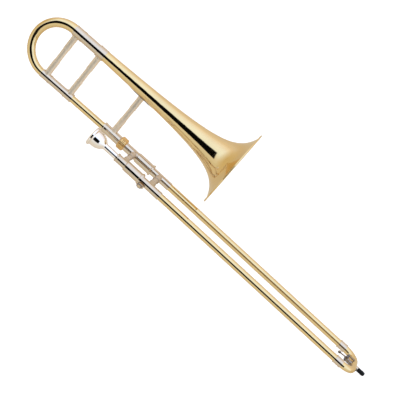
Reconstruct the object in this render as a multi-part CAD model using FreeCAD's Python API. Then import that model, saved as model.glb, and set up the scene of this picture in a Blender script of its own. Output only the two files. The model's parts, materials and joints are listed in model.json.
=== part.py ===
import FreeCAD, Part
import math
import os

# Alto trombone in E flat, straight, without a valve.
# Frame: the origin lies on the bell-side tube of the hand slide, level with the inner slide brace,
# where the left hand holds the instrument. +X runs along the slide towards its bow, +Y towards the
# bell, +Z towards the tube with the mouthpiece. All lengths are in millimetres.

Vector = FreeCAD.Vector
ORIGIN = Vector(0, 0, 0)
X_AXIS = Vector(1, 0, 0)
Y_AXIS = Vector(0, 1, 0)
Z_AXIS = Vector(0, 0, 1)

# ---- driving dimensions -------------------------------------------------------------------------

RUNNING_CLEARANCE = 0.05
FREE_GAP = 0.3

# Hand slide: two parallel legs, the bell-side one on z = 0, the mouthpiece-side one on z = SLIDE_SPACING.
SLIDE_SPACING = 78.0
BORE_R = 6.1
INNER_TUBE_R = 6.6
STOCKING_R = 6.75
OUTER_TUBE_BORE_R = STOCKING_R + RUNNING_CLEARANCE
OUTER_TUBE_R = 7.1
SLEEVE_R = 8.0
INNER_TUBE_END_X = 540.0
STOCKING_START_X = 430.0
OUTER_TUBE_START_X = 27.0
OUTER_TUBE_END_X = 542.0
SLEEVE_END_X = 92.5
SLEEVE_BEAD = 0.4
SLEEVE_BEAD_WIDTH = 1.8

# Barrels that take the ends of the outer tubes in first position.
BARREL_START_X = 7.0
BARREL_END_X = 47.0
BARREL_R = 10.25
BARREL_BORE_R = 8.5
BARREL_LIP_R = 11.9
BARREL_WALL_X = BARREL_START_X + 2.0
CORK_LENGTH = 6.0
INNER_TUBE_START_X = 8.0
TENON_END_X = 20.0

# Braces: a tube between two sockets, each a third of the visible length. Every socket flares out
# to a foot of one radius, and the tube's end stands SOCKET_FLOOR above the wall under that foot.
INNER_BRACE_X = 0.0
INNER_BRACE_TUBE_R = 5.3
INNER_BRACE_SOCKET_R = 5.8
OUTER_BRACE_X = 65.5
OUTER_BRACE_TUBE_R = 6.0
OUTER_BRACE_SOCKET_R = 6.6
BELL_BRACE_TUBE_R = 5.8
BELL_BRACE_SOCKET_R = 6.4
BRACE_TUBE_WALL = 0.8
BRACE_FOOT_R = 6.8
SOCKET_FLOOR = 3.0
SOCKET_FLARE_HEIGHT = 5.5
SOCKET_FOOT_HEIGHT = 0.8
SOCKET_BEAD = 0.4
SOCKET_BEAD_WIDTH = 1.5

# Slide bow and its fittings.
BOW_FERRULE_START_X = 534.0
BOW_START_X = 550.0
BOW_CORNER_R = 25.0
BOW_R = 7.1
BOW_BORE_R = 6.5
BOW_CREST_X = BOW_START_X + BOW_CORNER_R
BOW_FERRULE_R = 8.1
BUMPER_START_X = 585.3
BUMPER_END_X = 602.5
BUMPER_R = 4.5
BUMPER_END_ROUND = 2.8
BUMPER_HOLDER_R = 4.2
BUMPER_STEM_R = 2.2
BUMPER_STEM_X = BUMPER_START_X - 2.4

# Slide tenon, its taper and the lock nut.
TENON_R = 8.75
TAPER_START_X = -57.0
TAPER_SMALL_R = 7.3
TAPER_LARGE_R = 8.3
RECEIVER_START_X = -80.0
RECEIVER_END_X = -27.3
RECEIVER_R = 9.5
THREAD_R = 10.4
THREAD_START_X = -38.0
COLLAR_R = 9.8
COLLAR_WIDTH = 1.7
NUT_START_X = -37.7
NUT_END_X = -23.0
NUT_R = 13.0
NUT_SCALLOPS = 24
SCALLOP_R = 1.1
SCALLOP_CENTRE_R = NUT_R + 0.55

# Mouthpiece and its receiver.
MOUTHPIECE_RIM_X = -76.4
MOUTHPIECE_RIM_R = 19.75
MOUTHPIECE_CUP_R = 12.8
MOUTHPIECE_THROAT_R = 3.3
SHANK_END_X = 6.0
SHANK_END_R = 5.5
SHANK_MOUTH_R = 6.1
MOUTHPIECE_RECEIVER_X = -16.0
MOUTHPIECE_RECEIVER_R = 8.1
LEADPIPE_END_X = 205.0
LEADPIPE_MOUTH_R = 5.2
LEADPIPE_THROAT_R = 4.9

# Bell section. Its parts are laid out along their own line, which toes out from the slide by
# TOE_OUT degrees about a point on the slide axis. On that line x is measured from the turning
# point, the neckpipe lies on y = 0 and the bell's axis on y = LEG_SPACING.
TOE_OUT = 1.35
TOE_POINT_X = -58.0
LEG_SPACING = 107.6
BELL_RIM_R = 82.5
BELL_RIM_X = 219.4
BELL_WALL = 0.6
RIM_BEAD_R = 1.5
FLARE_OFFSET = 15.0
FLARE_POWER = 0.642
FLARE_STEPS = 26
BELL_TAIL_X = -111.0

NECKPIPE_R = 7.1
NECKPIPE_BORE_R = 6.6
NECKPIPE_END_X = -4.0

# Tuning slide, at rest pushed home.
CROOK_CENTRE_X = -179.5
CROOK_END_X = -168.0
CROOK_LOWER_R = 7.6
CROOK_UPPER_R = 9.95
CROOK_WALL = 0.5
CROOK_FERRULE_X = (-178.0, -158.4)
TUNING_RECEIVER_START_X = -158.0
TUNING_LEG_END_X = -113.5
END_FERRULE_X = (-120.0, -102.0)
NECKPIPE_FERRULE_R = 8.4
BELL_TAIL_FERRULE_R = 11.4
LOWER_CROOK_FERRULE_R = 8.2
UPPER_CROOK_FERRULE_R = 10.6
FERRULE_BEAD = 0.5
FERRULE_BEAD_WIDTH = 2.0
LOWER_LEG_R = 7.4
UPPER_LEG_R = 9.95
LEG_WALL = 0.5
LOWER_RECEIVER_R = 7.95
UPPER_RECEIVER_R = 10.5
RECEIVER_BEAD = 0.6
RECEIVER_BEAD_WIDTH = 2.2

TUNING_BRACE_X = -169.0
RECEIVER_BRACE_X = -111.0
BELL_BRACE_X = 0.0

# Lens-shaped plate between the bell brace and the bell.
SADDLE_LENGTH = 58.0
SADDLE_WIDTH = 15.0
SADDLE_THICKNESS = 1.0

# Slide lock: a ring on the mouthpiece-side barrel with an arm that hooks past a pin. Angles are
# about the tube's axis; 0 degrees points away from the bell, 90 degrees up.
LOCK_JOURNAL_R = 9.6
LOCK_RING_R = 12.0
LOCK_RING_X = (42.4, 46.7)
RETAINING_RING_R = 10.6
RETAINING_RING_WIDTH = 1.0
LOCK_ARM_END_X = 60.0
LOCK_FINGER_START_X = 57.0
LOCK_ARM_RADII = (10.9, 12.5)
LOCK_ARM_ANGLE = 60.0
LOCK_ARM_HALF_ANGLE = 14.0
LOCK_FINGER_ANGLE = 24.0
CATCH_PIN_ANGLE = 12.0
CATCH_PIN_X = 54.5
CATCH_PIN_R = 1.5
CATCH_PIN_TOP_R = 12.8
LOCK_KNOB_X = 52.0
KNOB_FOOT_R = 3.4
KNOB_WAIST_R = 2.9
KNOB_EDGE_R = 5.2
KNOB_HEAD_R = 5.9
KNOB_CROWN_R = 3.6

# Water key, in the middle of the bow.
KEY_CENTRE_Z = SLIDE_SPACING / 2
KEY_PIVOT_X = 557.5
KEY_PIVOT_Z = KEY_CENTRE_Z - 8.0
KEY_LEVER_END_X = 536.5
KEY_PIN_R = 1.1
KEY_HUB_R = 2.4
KEY_HUB_HALF_WIDTH = 5.0
KEY_ARM_HALF_WIDTH = 2.0
KEY_ARM_HALF_THICKNESS = 0.8
KEY_CUP_R = 4.8
KEY_TOUCH_R = 3.5
NIPPLE_END_X = 562.0
NIPPLE_R = 3.4
NIPPLE_FLANGE_R = 4.6
DRAIN_R = 1.9
CUP_BACK_X = 558.4
CORK_PAD_X = (559.6, NIPPLE_END_X - 0.2)
CORK_PAD_R = 4.1
CHEEK_INNER_Y = KEY_HUB_HALF_WIDTH + FREE_GAP
CHEEK_THICKNESS = 1.4
CHEEK_EYE_R = 2.6
CHEEK_FOOT_HALF_WIDTH = 4.2


# ---- shared shapes ------------------------------------------------------------------------------

def turned(profile, y=0.0, z=0.0):
    """A solid turned about the line along X through (y, z), from (x, radius) corners."""
    corners = [Vector(x, y, z + r) for x, r in profile]
    face = Part.Face(Part.makePolygon(corners + corners[:1]))
    return face.revolve(Vector(0, y, z), X_AXIS, 360)


def tube(x0, x1, r_in, r_out, y=0.0, z=0.0):
    return turned([(x0, r_in), (x1, r_in), (x1, r_out), (x0, r_out)], y, z)


def rod(start, end, radius):
    along = end - start
    return Part.makeCylinder(radius, along.Length, start, along)


def beaded_tube(x0, x1, r_in, r_out, bead, bead_width, bead_ends, y=0.0, z=0.0):
    """A sleeve with a raised bead at its low end, its high end or both."""
    body = tube(x0, x1, r_in, r_out, y, z)
    if "low" in bead_ends:
        body = body.fuse(tube(x0, x0 + bead_width, r_in, r_out + bead, y, z))
    if "high" in bead_ends:
        body = body.fuse(tube(x1 - bead_width, x1, r_in, r_out + bead, y, z))
    return body.removeSplitter()


def line(a, b):
    return Part.LineSegment(a, b).toShape()


def arc(a, through, b):
    return Part.Arc(a, through, b).toShape()


def turned_edges(edges, centre, axis):
    face = Part.Face(Part.Wire(edges))
    return face.revolve(centre, axis, 360)


def group(shapes):
    """Separate solids kept in one node."""
    solids = []
    for shape in shapes:
        solids.extend(shape.Solids)
    return Part.makeCompound(solids)


def bell_line(shape):
    """Move a shape from the bell section's own line into the instrument's frame."""
    placed = shape.copy()
    placed.rotate(ORIGIN, Z_AXIS, TOE_OUT)
    placed.translate(Vector(TOE_POINT_X, 0, 0))
    return placed


def save(name, shape):
    solids = shape.Solids
    if not solids or not all(solid.isValid() for solid in solids):
        raise ValueError("the shape of " + name + " is not a valid solid")
    shape.exportStep(os.path.join("parts", name + ".step"))
    volume = sum(solid.Volume for solid in solids)
    print(name, len(solids), "solid(s)", round(volume, 1), "mm3")


# ---- braces -------------------------------------------------------------------------------------

def brace_socket(foot_z, socket_length, tube_r, socket_r):
    """One brace socket along +Z, standing on a tube whose axis is z = 0 and whose wall is at foot_z."""
    shoulder_z = foot_z + SOCKET_FOOT_HEIGHT
    floor_z = foot_z + SOCKET_FLOOR
    flare_z = foot_z + SOCKET_FLARE_HEIGHT
    mouth_z = foot_z + socket_length
    bead_z = mouth_z - SOCKET_BEAD_WIDTH

    def at(r, z):
        return Vector(r, 0, z)

    flare_mid = at(socket_r + 0.25 * (BRACE_FOOT_R - socket_r), foot_z + 2.6)
    bead_crest = at(socket_r + SOCKET_BEAD, (bead_z + mouth_z) / 2)
    edges = [line(at(0, 0), at(BRACE_FOOT_R, 0)),
             line(at(BRACE_FOOT_R, 0), at(BRACE_FOOT_R, shoulder_z)),
             arc(at(BRACE_FOOT_R, shoulder_z), flare_mid, at(socket_r, flare_z)),
             line(at(socket_r, flare_z), at(socket_r, bead_z)),
             arc(at(socket_r, bead_z), bead_crest, at(socket_r, mouth_z)),
             line(at(socket_r, mouth_z), at(tube_r, mouth_z)),
             line(at(tube_r, mouth_z), at(tube_r, floor_z)),
             line(at(tube_r, floor_z), at(0, floor_z)),
             line(at(0, floor_z), at(0, 0))]
    return turned_edges(edges, ORIGIN, Z_AXIS)


def brace(spacing, low_r, high_r, tube_r, socket_r):
    """A brace along +Z between tubes at z = 0 and z = spacing: (tube, low socket, high socket)."""
    socket_length = (spacing - low_r - high_r) / 3
    low = brace_socket(low_r, socket_length, tube_r, socket_r)
    high = brace_socket(high_r, socket_length, tube_r, socket_r)
    high.rotate(ORIGIN, X_AXIS, 180)
    high.translate(Vector(0, 0, spacing))
    bottom = low_r + SOCKET_FLOOR
    length = spacing - high_r - SOCKET_FLOOR - bottom
    middle = Part.makeCylinder(tube_r, length, Vector(0, 0, bottom))
    middle = middle.cut(Part.makeCylinder(tube_r - BRACE_TUBE_WALL, length, Vector(0, 0, bottom)))
    return middle, low, high


def along_y(shape, x):
    """Stand a brace built along +Z across the bell section instead, at the given x of its line."""
    placed = shape.copy()
    placed.rotate(ORIGIN, X_AXIS, -90)
    placed.translate(Vector(x, 0, 0))
    return placed


def largest_solid(shape):
    return max(shape.Solids, key=lambda solid: solid.Volume)


def bell_section_brace(x, low_r, high_r, low_cutter, high_cutter):
    """Tube and sockets of a brace across the bell section, in its own line."""
    middle, low, high = brace(LEG_SPACING, low_r, high_r, BELL_BRACE_TUBE_R, BELL_BRACE_SOCKET_R)
    low = largest_solid(along_y(low, x).cut(low_cutter))
    high = largest_solid(along_y(high, x).cut(high_cutter))
    return along_y(middle, x), group([low, high])


def slide_brace(x, low_r, high_r, tube_r, socket_r):
    """Tube and sockets of a brace between the legs of the slide."""
    middle, low, high = brace(SLIDE_SPACING, low_r, high_r, tube_r, socket_r)
    reach = 2 * BARREL_R
    low_cutter = Part.makeCylinder(low_r, 2 * reach, Vector(-reach, 0, 0), X_AXIS)
    high_cutter = Part.makeCylinder(high_r, 2 * reach, Vector(-reach, 0, SLIDE_SPACING), X_AXIS)
    pieces = [middle, largest_solid(low.cut(low_cutter)), largest_solid(high.cut(high_cutter))]
    for piece in pieces:
        piece.translate(Vector(x, 0, 0))
    return pieces[0], group(pieces[1:])


# ---- bell ---------------------------------------------------------------------------------------

# The wall ends inside the rim's bead, which curls forward and outward round the rim wire.
BEAD_SEAT_R = RIM_BEAD_R - BELL_WALL
RIM_CURL_DEGREES = 300.0
FLARE_EDGE_R = BELL_RIM_R - RIM_BEAD_R - 0.25
FLARE_SCALE = FLARE_EDGE_R * FLARE_OFFSET ** FLARE_POWER
FLARE_EDGE_X = BELL_RIM_X - 0.635


def flare_radius(x):
    """Outside radius of the bell: a power of the distance back from the rim."""
    return FLARE_SCALE * (FLARE_EDGE_X - x + FLARE_OFFSET) ** -FLARE_POWER


def flare_slope(x):
    return FLARE_SCALE * FLARE_POWER * (FLARE_EDGE_X - x + FLARE_OFFSET) ** (-FLARE_POWER - 1)


def flare_curve(offset):
    """The bell's meridian, moved off the outside surface by offset along the normal (inwards is negative)."""
    points = []
    for step in range(FLARE_STEPS + 1):
        share = 1 - (step / FLARE_STEPS)
        x = FLARE_EDGE_X - (FLARE_EDGE_X - BELL_TAIL_X) * share ** 2
        slope = flare_slope(x)
        unit = math.hypot(1, slope)
        points.append(Vector(x - offset * slope / unit, flare_radius(x) + offset / unit, 0))
    tangents = [Vector(1, flare_slope(x), 0) for x in (BELL_TAIL_X, FLARE_EDGE_X)]
    curve = Part.BSplineCurve()
    curve.interpolate(Points=points, InitialTangent=tangents[0], FinalTangent=tangents[1])
    return curve.toShape(), points[0], points[-1]


def on_bell_axis(shape):
    placed = shape.copy()
    placed.translate(Vector(0, LEG_SPACING, 0))
    return placed


def rim_geometry():
    """Centre of the rim bead, and the two directions that its curl is laid out in."""
    slope = flare_slope(FLARE_EDGE_X)
    unit = math.hypot(1, slope)
    forward = Vector(1 / unit, slope / unit, 0)
    back = Vector(-slope / unit, 1 / unit, 0)
    edge = Vector(FLARE_EDGE_X, flare_radius(FLARE_EDGE_X), 0)
    return edge + back * BEAD_SEAT_R, forward, back


def bell():
    centre, forward, back = rim_geometry()

    def on_curl(radius, degrees):
        turn = math.radians(degrees)
        return centre + (forward * math.sin(turn) - back * math.cos(turn)) * radius

    half_curl = RIM_CURL_DEGREES / 2
    curl_end_in = on_curl(BEAD_SEAT_R, RIM_CURL_DEGREES)
    curl_end_out = on_curl(RIM_BEAD_R, RIM_CURL_DEGREES)
    outside, tail_out, edge_out = flare_curve(0.0)
    inside, tail_in, edge_in = flare_curve(-BELL_WALL)
    edges = [outside,
             arc(edge_out, on_curl(BEAD_SEAT_R, half_curl), curl_end_in),
             line(curl_end_in, curl_end_out),
             arc(curl_end_out, on_curl(RIM_BEAD_R, half_curl), edge_in),
             inside,
             line(tail_in, tail_out)]
    return bell_line(on_bell_axis(turned_edges(edges, ORIGIN, X_AXIS)))


def bell_rim_wire():
    centre = rim_geometry()[0]
    wire_r = BEAD_SEAT_R - RUNNING_CLEARANCE
    ring = Part.makeTorus(centre.y, wire_r, Vector(centre.x, 0, 0), X_AXIS)
    return bell_line(on_bell_axis(ring))


def bell_core(grow):
    """The bell filled in, on its own axis, grown by the given thickness."""
    outside, tail, edge = flare_curve(grow)
    edges = [outside,
             line(edge, Vector(edge.x, 0, 0)),
             line(Vector(edge.x, 0, 0), Vector(tail.x, 0, 0)),
             line(Vector(tail.x, 0, 0), tail)]
    return on_bell_axis(turned_edges(edges, ORIGIN, X_AXIS))


def saddle_on_bell():
    """Lens-shaped plate under the bell brace, bent to the bell's wall on the side facing the neckpipe."""
    half_length = SADDLE_LENGTH / 2
    half_width = SADDLE_WIDTH / 2
    tips = [Vector(BELL_BRACE_X + side * half_length, LEG_SPACING, 0) for side in (-1, 1)]
    crests = [Vector(BELL_BRACE_X, LEG_SPACING, side * half_width) for side in (1, -1)]
    outline = Part.Face(Part.Wire([arc(tips[0], crests[0], tips[1]), arc(tips[1], crests[1], tips[0])]))
    prism = outline.extrude(Vector(0, -2 * LEG_SPACING / 3, 0))
    plate = prism.common(bell_core(SADDLE_THICKNESS)).cut(bell_core(0.0))
    return largest_solid(plate)


# ---- bell section -------------------------------------------------------------------------------

def leg_cutter(radius, y):
    """A bar the size of one leg, long enough to cut any foot or ferrule that sits on it."""
    length = 400.0
    return Part.makeCylinder(radius, length, Vector(-length / 2, y, 0), X_AXIS)


def bell_tail_ferrule():
    ring = beaded_tube(END_FERRULE_X[0], END_FERRULE_X[1], UPPER_RECEIVER_R, BELL_TAIL_FERRULE_R,
                       FERRULE_BEAD, FERRULE_BEAD_WIDTH, ("low", "high"), LEG_SPACING)
    return bell_line(largest_solid(ring.cut(bell_core(0.0))))


def tuning_receiver(leg_r, outside_r, y):
    """Outer tube of the tuning slide, with a bead at its open end."""
    return bell_line(beaded_tube(TUNING_RECEIVER_START_X, BELL_TAIL_X, leg_r + RUNNING_CLEARANCE, outside_r,
                                 RECEIVER_BEAD, RECEIVER_BEAD_WIDTH, ("low",), y))


def stepped_ferrule(ends, step_x, low_bore_r, high_bore_r, outside_r, y):
    """Beaded sleeve that joins two tubes of different size, which meet inside it at step_x."""
    low, high = ends
    bead_r = outside_r + FERRULE_BEAD
    low_bead_x = low + FERRULE_BEAD_WIDTH
    high_bead_x = high - FERRULE_BEAD_WIDTH
    profile = [(low, low_bore_r), (step_x, low_bore_r), (step_x, high_bore_r), (high, high_bore_r),
               (high, bead_r), (high_bead_x, bead_r), (high_bead_x, outside_r), (low_bead_x, outside_r),
               (low_bead_x, bead_r), (low, bead_r)]
    return bell_line(turned(profile, y))


def neckpipe_ferrule():
    return stepped_ferrule(END_FERRULE_X, BELL_TAIL_X, LOWER_RECEIVER_R, NECKPIPE_R, NECKPIPE_FERRULE_R, 0.0)


def neckpipe():
    return bell_line(tube(BELL_TAIL_X, NECKPIPE_END_X, NECKPIPE_BORE_R, NECKPIPE_R))


def taper_radius(x):
    """Radius of the tapered socket that the slide tenon seats in."""
    share = (x - TAPER_START_X) / (RECEIVER_END_X - TAPER_START_X)
    return TAPER_SMALL_R + (TAPER_LARGE_R - TAPER_SMALL_R) * share


def slide_receiver():
    """Sleeve over the neckpipe with the tapered socket and the thread for the lock nut."""
    socket_floor_x = TAPER_START_X - 1.0
    bead_x = RECEIVER_START_X + 2.5
    profile = [(RECEIVER_START_X, BORE_R + 0.5), (socket_floor_x, BORE_R + 0.5),
               (socket_floor_x, taper_radius(socket_floor_x)), (RECEIVER_END_X, taper_radius(RECEIVER_END_X)),
               (RECEIVER_END_X, THREAD_R), (THREAD_START_X, THREAD_R), (THREAD_START_X - 1, RECEIVER_R),
               (bead_x + 1, RECEIVER_R), (bead_x, RECEIVER_R + 0.6), (RECEIVER_START_X, RECEIVER_R + 0.6)]
    reach = 60.0
    socket = Part.makeCylinder(NECKPIPE_R, reach, Vector(NECKPIPE_END_X - reach, 0, 0), X_AXIS)
    return turned(profile).cut(bell_line(socket))


def slide_receiver_outline():
    """The sleeve's outside as a solid bar, expressed in the bell section's own line."""
    length = 120.0
    bar = Part.makeCylinder(RECEIVER_R, length, Vector(-length, 0, 0), X_AXIS)
    bar.translate(Vector(-TOE_POINT_X, 0, 0))
    bar.rotate(ORIGIN, Z_AXIS, -TOE_OUT)
    return bar


def make_bell_section():
    save("bell", bell())
    save("bell_rim_wire", bell_rim_wire())
    save("bell_tail_ferrule", bell_tail_ferrule())
    save("upper_tuning_receiver", tuning_receiver(UPPER_LEG_R, UPPER_RECEIVER_R, LEG_SPACING))
    save("lower_tuning_receiver", tuning_receiver(LOWER_LEG_R, LOWER_RECEIVER_R, 0.0))
    save("neckpipe_ferrule", neckpipe_ferrule())
    save("neckpipe", neckpipe())
    save("slide_receiver", slide_receiver())
    middle, sockets = bell_section_brace(RECEIVER_BRACE_X, NECKPIPE_FERRULE_R, BELL_TAIL_FERRULE_R,
                                         leg_cutter(NECKPIPE_FERRULE_R, 0),
                                         leg_cutter(BELL_TAIL_FERRULE_R, LEG_SPACING))
    save("receiver_brace_tube", bell_line(middle))
    save("receiver_brace_sockets", bell_line(sockets))
    on_plate_r = flare_radius(BELL_BRACE_X) + SADDLE_THICKNESS
    middle, sockets = bell_section_brace(BELL_BRACE_X, RECEIVER_R, on_plate_r, slide_receiver_outline(),
                                         bell_core(SADDLE_THICKNESS))
    save("bell_brace_tube", bell_line(middle))
    save("bell_brace_sockets", bell_line(sockets))
    save("bell_brace_saddle", bell_line(saddle_on_bell()))


# ---- tuning slide -------------------------------------------------------------------------------

def crook_body(lower_r, upper_r):
    """Solid of the crook: straight, half circle, straight, widening evenly round the bend."""
    radius = LEG_SPACING / 2
    low = Vector(CROOK_CENTRE_X, 0, 0)
    far = Vector(CROOK_CENTRE_X - radius, radius, 0)
    high = Vector(CROOK_CENTRE_X, LEG_SPACING, 0)
    bend = Part.BRepOffsetAPI.MakePipeShell(Part.Wire([arc(low, far, high)]))
    bend.setFrenetMode(True)
    bend.add(Part.Wire([Part.makeCircle(lower_r, low, X_AXIS)]))
    bend.add(Part.Wire([Part.makeCircle(upper_r, high, X_AXIS)]))
    bend.build()
    bend.makeSolid()
    straight = CROOK_END_X - CROOK_CENTRE_X
    lower_leg = Part.makeCylinder(lower_r, straight, low, X_AXIS)
    upper_leg = Part.makeCylinder(upper_r, straight, high, X_AXIS)
    return bend.shape().fuse([lower_leg, upper_leg]).removeSplitter()


def tuning_crook():
    outside = crook_body(CROOK_LOWER_R, CROOK_UPPER_R)
    inside = crook_body(CROOK_LOWER_R - CROOK_WALL, CROOK_UPPER_R - CROOK_WALL)
    return bell_line(outside.cut(inside))


def crook_ferrule(crook_r, leg_r, outside_r, y):
    return stepped_ferrule(CROOK_FERRULE_X, CROOK_END_X, crook_r, leg_r, outside_r, y)


def tuning_leg(radius, y):
    return bell_line(tube(CROOK_END_X, TUNING_LEG_END_X, radius - LEG_WALL, radius, y))


def make_tuning_slide():
    save("tuning_crook", tuning_crook())
    save("lower_crook_ferrule", crook_ferrule(CROOK_LOWER_R, LOWER_LEG_R, LOWER_CROOK_FERRULE_R, 0.0))
    save("upper_crook_ferrule", crook_ferrule(CROOK_UPPER_R, UPPER_LEG_R, UPPER_CROOK_FERRULE_R, LEG_SPACING))
    save("lower_tuning_leg", tuning_leg(LOWER_LEG_R, 0.0))
    save("upper_tuning_leg", tuning_leg(UPPER_LEG_R, LEG_SPACING))
    middle, sockets = bell_section_brace(TUNING_BRACE_X, LOWER_CROOK_FERRULE_R, UPPER_CROOK_FERRULE_R,
                                         leg_cutter(LOWER_CROOK_FERRULE_R, 0),
                                         leg_cutter(UPPER_CROOK_FERRULE_R, LEG_SPACING))
    save("tuning_brace_tube", bell_line(middle))
    save("tuning_brace_sockets", bell_line(sockets))


# ---- inner slide --------------------------------------------------------------------------------

def inner_tube(start_x, z):
    """Inner slide tube: plain along most of its length, with the thicker stocking at its far end."""
    profile = [(start_x, BORE_R), (INNER_TUBE_END_X, BORE_R), (INNER_TUBE_END_X, STOCKING_R - 0.3),
               (INNER_TUBE_END_X - 1, STOCKING_R), (STOCKING_START_X, STOCKING_R),
               (STOCKING_START_X - 2, INNER_TUBE_R), (start_x, INNER_TUBE_R)]
    return turned(profile, 0.0, z)


def slide_tenon():
    """Tapered plug, collar for the lock nut, and the neck that carries the brace and the barrel."""
    taper_end_x = RECEIVER_END_X - FREE_GAP
    collar_start_x = RECEIVER_END_X + FREE_GAP
    collar_end_x = collar_start_x + COLLAR_WIDTH
    small_r = taper_radius(TAPER_START_X) - RUNNING_CLEARANCE
    large_r = taper_radius(taper_end_x) - RUNNING_CLEARANCE
    profile = [(TAPER_START_X, BORE_R), (INNER_TUBE_START_X, BORE_R), (INNER_TUBE_START_X, INNER_TUBE_R),
               (TENON_END_X, INNER_TUBE_R), (TENON_END_X, BARREL_BORE_R), (BARREL_WALL_X, BARREL_BORE_R),
               (BARREL_WALL_X, TENON_R), (collar_end_x, TENON_R), (collar_end_x, COLLAR_R),
               (collar_start_x, COLLAR_R), (collar_start_x, large_r), (taper_end_x, large_r),
               (TAPER_START_X, small_r)]
    return turned(profile)


def shank_radius(x):
    """Outside radius of the mouthpiece shank where it seats in its receiver."""
    share = (x - MOUTHPIECE_RECEIVER_X) / (SHANK_END_X - MOUTHPIECE_RECEIVER_X)
    return SHANK_MOUTH_R + (SHANK_END_R - SHANK_MOUTH_R) * share


def mouthpiece_receiver():
    """Tapered socket for the mouthpiece, with a bead round its mouth."""
    mouth = MOUTHPIECE_RECEIVER_X
    body_r = MOUTHPIECE_RECEIVER_R
    bead_r = body_r + 0.7
    floor_x = INNER_TUBE_START_X
    mouth_bore_r = shank_radius(mouth) + RUNNING_CLEARANCE
    floor_bore_r = shank_radius(floor_x) + RUNNING_CLEARANCE
    profile = [(mouth, mouth_bore_r), (floor_x, floor_bore_r), (floor_x, INNER_TUBE_R),
               (TENON_END_X, INNER_TUBE_R), (TENON_END_X, body_r), (mouth + 4.0, body_r),
               (mouth + 3.2, bead_r), (mouth + 0.8, bead_r), (mouth, body_r)]
    return turned(profile, 0.0, SLIDE_SPACING)


def leadpipe():
    """Venturi tube inside the mouthpiece-side leg: narrow at the shank, opening to the bore."""
    throat_x = INNER_TUBE_START_X + 12.0
    profile = [(INNER_TUBE_START_X, LEADPIPE_MOUTH_R), (throat_x, LEADPIPE_THROAT_R),
               (LEADPIPE_END_X, BORE_R - 0.25),
               (LEADPIPE_END_X, BORE_R), (INNER_TUBE_START_X, BORE_R)]
    return turned(profile, 0.0, SLIDE_SPACING)


def barrel_base(neck_r):
    """Inner corners of a barrel's closed end, and the rounded shoulder outside it."""
    inner = [(BARREL_START_X, neck_r), (BARREL_WALL_X, neck_r), (BARREL_WALL_X, BARREL_BORE_R)]
    shoulder = [(BARREL_START_X + 1.5, BARREL_R), (BARREL_START_X, BARREL_R - 1.5)]
    return inner, shoulder


def bell_side_barrel():
    """Cup that takes the outer tube's end, with a lip at its mouth."""
    inner, shoulder = barrel_base(TENON_R)
    end = BARREL_END_X
    lip = [(end, BARREL_BORE_R), (end, BARREL_LIP_R - 0.5), (end - 0.5, BARREL_LIP_R),
           (end - 3.0, BARREL_LIP_R), (end - 4.5, BARREL_R)]
    return turned(inner + lip + shoulder)


def mouthpiece_side_barrel():
    """The same cup with a journal for the slide lock ring at its mouth."""
    inner, shoulder = barrel_base(MOUTHPIECE_RECEIVER_R)
    start = LOCK_RING_X[0] - FREE_GAP
    end = LOCK_RING_X[1] + FREE_GAP + RETAINING_RING_WIDTH
    journal = [(end, BARREL_BORE_R), (end, LOCK_JOURNAL_R), (start, LOCK_JOURNAL_R), (start, BARREL_R)]
    return turned(inner + journal + shoulder, 0.0, SLIDE_SPACING)


def lock_retaining_ring():
    start_x = LOCK_RING_X[1] + FREE_GAP
    end_x = start_x + RETAINING_RING_WIDTH
    return tube(start_x, end_x, LOCK_JOURNAL_R, RETAINING_RING_R, 0.0, SLIDE_SPACING)


def barrel_cork(z):
    end_x = OUTER_TUBE_START_X - FREE_GAP
    return tube(end_x - CORK_LENGTH, end_x, INNER_TUBE_R, BARREL_BORE_R, 0.0, z)


def make_inner_slide():
    save("bell_side_inner_tube", inner_tube(INNER_TUBE_START_X, 0.0))
    save("mouthpiece_side_inner_tube", inner_tube(INNER_TUBE_START_X, SLIDE_SPACING))
    save("slide_tenon", slide_tenon())
    save("mouthpiece_receiver", mouthpiece_receiver())
    save("leadpipe", leadpipe())
    save("bell_side_barrel", bell_side_barrel())
    save("mouthpiece_side_barrel", mouthpiece_side_barrel())
    save("bell_side_barrel_cork", barrel_cork(0.0))
    save("mouthpiece_side_barrel_cork", barrel_cork(SLIDE_SPACING))
    save("lock_retaining_ring", lock_retaining_ring())
    middle, sockets = slide_brace(INNER_BRACE_X, TENON_R, MOUTHPIECE_RECEIVER_R, INNER_BRACE_TUBE_R,
                                  INNER_BRACE_SOCKET_R)
    save("inner_brace_tube", middle)
    save("inner_brace_sockets", sockets)


# ---- lock nut -----------------------------------------------------------------------------------

def lock_nut():
    """Scalloped nut, held on the tenon behind its collar, that draws the two sections together."""
    bore_r = THREAD_R + RUNNING_CLEARANCE
    flange_x = RECEIVER_END_X + FREE_GAP + COLLAR_WIDTH + FREE_GAP
    flange_r = TENON_R + FREE_GAP
    profile = [(NUT_START_X, bore_r), (flange_x, bore_r), (flange_x, flange_r), (NUT_END_X, flange_r),
               (NUT_END_X, NUT_R - 2.6), (NUT_END_X - 3.5, NUT_R), (NUT_START_X + 2.5, NUT_R),
               (NUT_START_X, NUT_R - 1.6)]
    nut = turned(profile)
    length = NUT_END_X - NUT_START_X
    notches = []
    for step in range(NUT_SCALLOPS):
        turn = 2 * math.pi * step / NUT_SCALLOPS
        centre = Vector(NUT_START_X, SCALLOP_CENTRE_R * math.cos(turn), SCALLOP_CENTRE_R * math.sin(turn))
        notches.append(Part.makeCylinder(SCALLOP_R, length, centre, X_AXIS))
    return nut.cut(Part.makeCompound(notches))


# ---- slide lock ---------------------------------------------------------------------------------

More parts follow.
